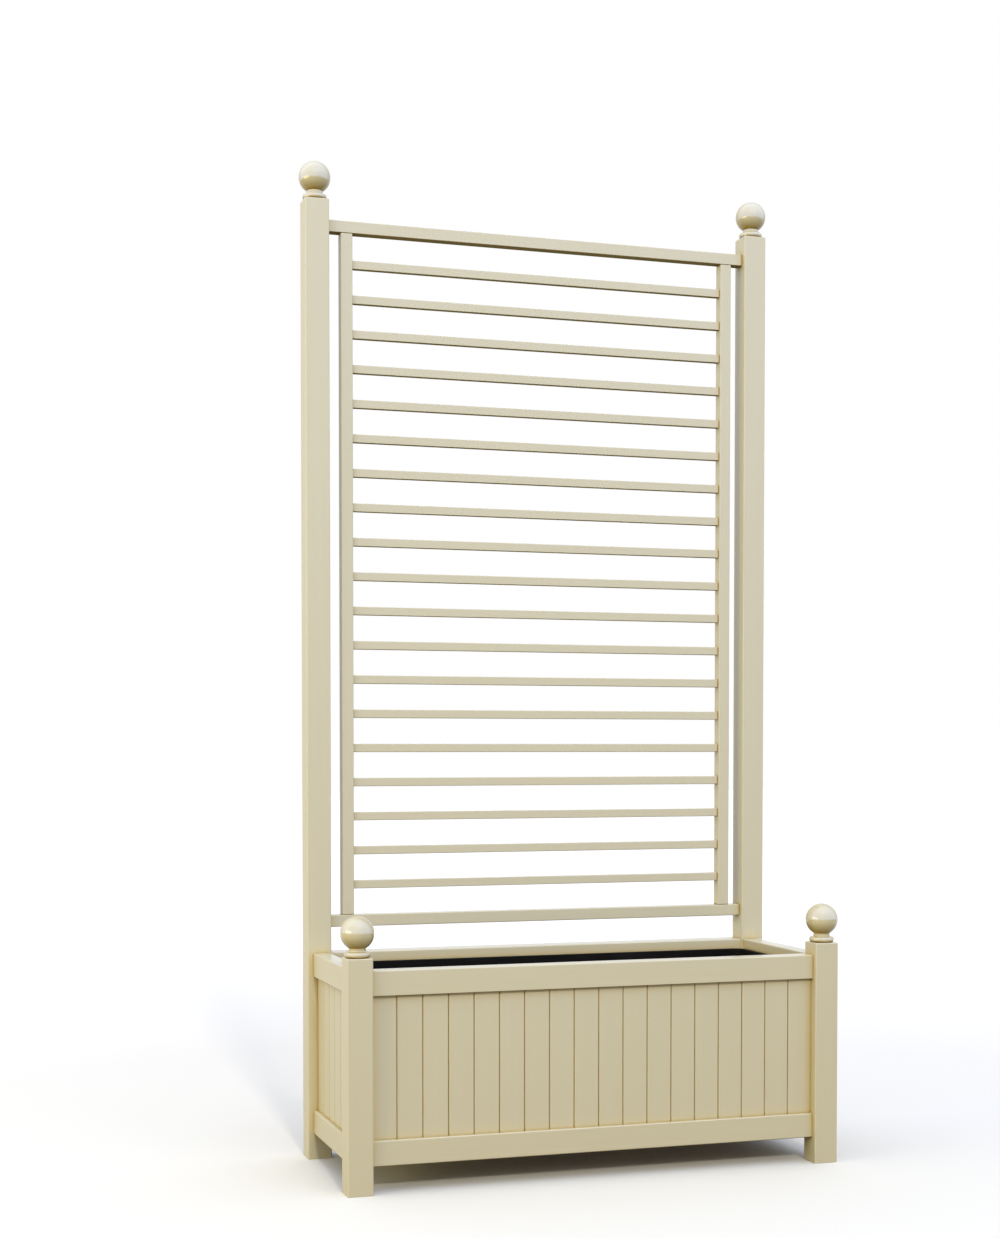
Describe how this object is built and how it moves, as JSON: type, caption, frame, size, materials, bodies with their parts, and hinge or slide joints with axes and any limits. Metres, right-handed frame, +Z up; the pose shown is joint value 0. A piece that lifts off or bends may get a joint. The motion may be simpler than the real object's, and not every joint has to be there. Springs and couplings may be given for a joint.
{
  "type": "planter with trellis",
  "caption": "Cream painted timber planter box of framed tongue-and-groove boards with a black trough liner, tall rear posts with ball finials and a slatted trellis between them.",
  "frame": {"origin": "On the ground under the middle of the box, halfway between the front and rear posts.", "axes": "Z up; X along the length of the box, to the right seen from the front; the front faces -Y."},
  "size_m": [1.0144, 0.4096, 1.9928],
  "materials": {
    "painted_timber": "satin cream paint",
    "floor_timber": "planed softwood",
    "liner_plastic": "black moulded plastic"
  },
  "bodies": {
    "planter": {"front_left_post": "painted_timber", "front_right_post": "painted_timber", "rear_left_post": "painted_timber", "rear_right_post": "painted_timber", "ball_finials": "painted_timber", "front_bottom_rail": "painted_timber", "front_top_rail": "painted_timber", "right_bottom_rail": "painted_timber", "right_top_rail": "painted_timber", "rear_bottom_rail": "painted_timber", "rear_top_rail": "painted_timber", "left_bottom_rail": "painted_timber", "left_top_rail": "painted_timber", "front_boards": "painted_timber", "right_boards": "painted_timber", "rear_boards": "painted_timber", "left_boards": "painted_timber", "trellis_bottom_rail": "painted_timber", "trellis_top_rail": "painted_timber", "trellis_left_stile": "painted_timber", "trellis_right_stile": "painted_timber", "trellis_slat_01": "painted_timber", "trellis_slat_02": "painted_timber", "trellis_slat_03": "painted_timber", "trellis_slat_04": "painted_timber", "trellis_slat_05": "painted_timber", "trellis_slat_06": "painted_timber", "trellis_slat_07": "painted_timber", "trellis_slat_08": "painted_timber", "trellis_slat_09": "painted_timber", "trellis_slat_10": "painted_timber", "trellis_slat_11": "painted_timber", "trellis_slat_12": "painted_timber", "trellis_slat_13": "painted_timber", "trellis_slat_14": "painted_timber", "trellis_slat_15": "painted_timber", "trellis_slat_16": "painted_timber", "trellis_slat_17": "painted_timber", "trellis_slat_18": "painted_timber", "trellis_slat_19": "painted_timber", "front_bearer": "floor_timber", "rear_bearer": "floor_timber", "floor_slats": "floor_timber"},
    "liner_body": {"liner": "liner_plastic"}
  },
  "joints": [
    {"name": "liner_lift", "type": "slide", "parent": "planter", "child": "liner_body", "axis": [0, 0, 1], "range_m": [0, 0.33]}
  ]
}
